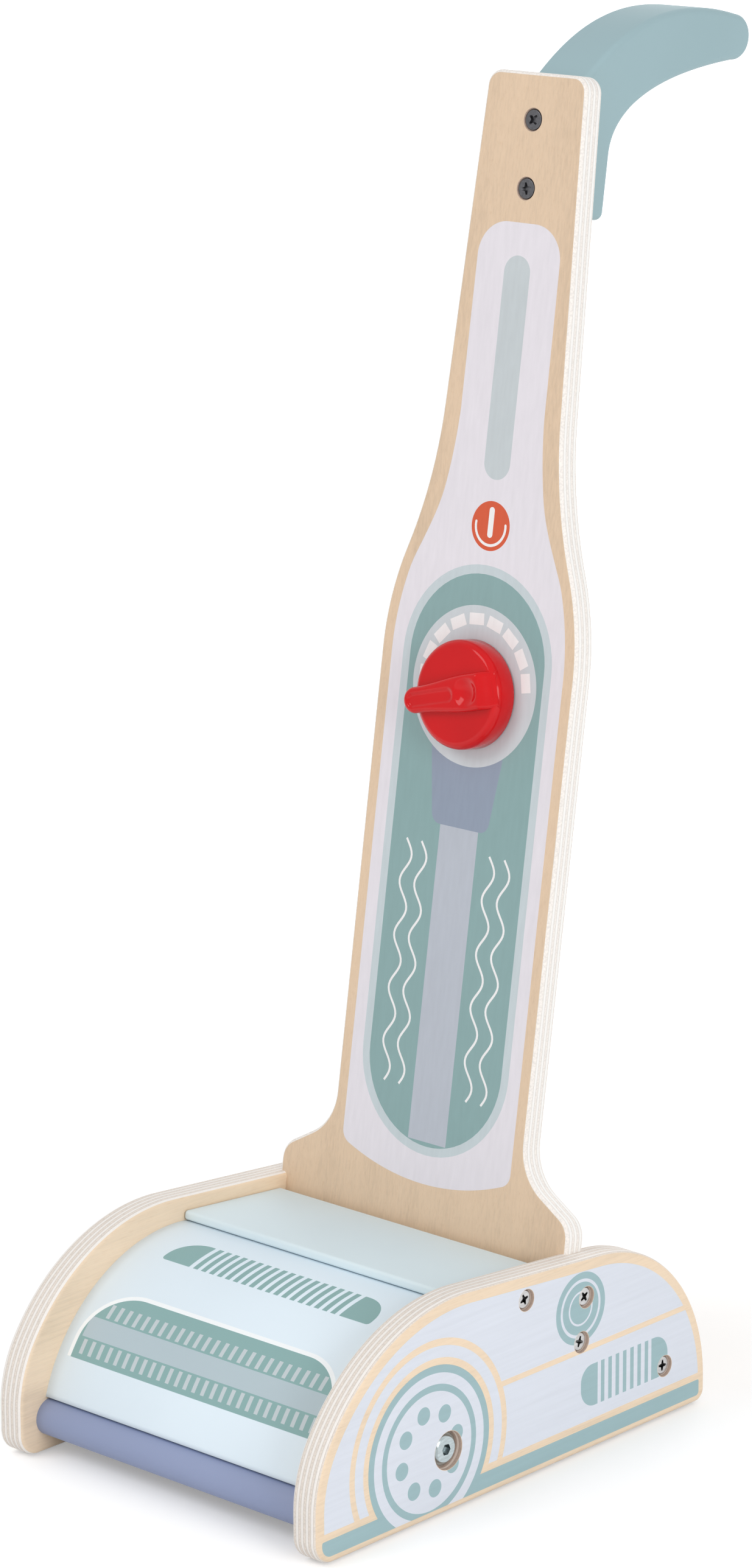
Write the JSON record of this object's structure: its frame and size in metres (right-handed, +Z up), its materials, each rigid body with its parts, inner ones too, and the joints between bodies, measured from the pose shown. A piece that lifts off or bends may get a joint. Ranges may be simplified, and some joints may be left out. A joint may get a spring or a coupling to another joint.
{
  "type": "toy vacuum cleaner",
  "caption": "Wooden toy upright vacuum: domed side panels, bent front cover, front roller, tipping lid and hidden wheels below a leaning board with a turning dial and a curved grip.",
  "frame": {"origin": "centre of the overall box, on the floor under the wheels", "axes": "+Z up, -Y to the toy's front where the roller is, +X to its right as seen from the front"},
  "size_m": [0.205, 0.4068, 0.6588],
  "materials": {
    "plywood": "clear satin lacquer",
    "cover_paint": "satin paint, pale blue",
    "roller_paint": "satin paint, lavender",
    "lid_paint": "satin paint, mint",
    "grip_paint": "satin paint, grey teal",
    "red_plastic": "gloss",
    "steel": "zinc plated",
    "dark_steel": "dark nickel",
    "beech": "bare",
    "rubber": "matt"
  },
  "bodies": {
    "body": {"right_panel": "plywood", "left_panel": "plywood", "front_cover": "cover_paint", "lid_pivots": "steel", "upright": "plywood", "upright_screws": "steel", "grip": "grip_paint", "grip_screws": "dark_steel", "axle_rod": "steel", "axle_bolts": "steel", "axle_sleeve": "beech", "axle_rings": "beech", "bin_floor": "plywood", "rear_rail": "plywood", "rail_screws": "steel"},
    "roller": {"front_roller": "roller_paint"},
    "lid": {"lid": "lid_paint"},
    "dial": {"dial_knob": "red_plastic", "dial_washer": "steel", "dial_screw": "steel"},
    "right_wheel": {"right_wheel": "beech", "right_tyre": "rubber"},
    "left_wheel": {"left_wheel": "beech", "left_tyre": "rubber"}
  },
  "joints": [
    {"name": "roller_spin", "type": "hinge", "parent": "body", "child": "roller", "pos_m": [0, -0.18422, 0.0182], "axis": [1, 0, 0], "continuous": true},
    {"name": "lid_tip", "type": "hinge", "parent": "body", "child": "lid", "pos_m": [0, -0.06052, 0.08881], "axis": [-1, 0, 0], "range_deg": [0, 90]},
    {"name": "dial_turn", "type": "hinge", "parent": "body", "child": "dial", "pos_m": [0, 0.01853, 0.34586], "axis": [0, 0.9879, -0.1554], "range_deg": [0, 195]},
    {"name": "right_wheel_spin", "type": "hinge", "parent": "body", "child": "right_wheel", "pos_m": [0, -0.11472, 0.0312], "axis": [1, 0, 0], "continuous": true},
    {"name": "left_wheel_spin", "type": "hinge", "parent": "body", "child": "left_wheel", "pos_m": [0, -0.11472, 0.0312], "axis": [1, 0, 0], "continuous": true}
  ]
}
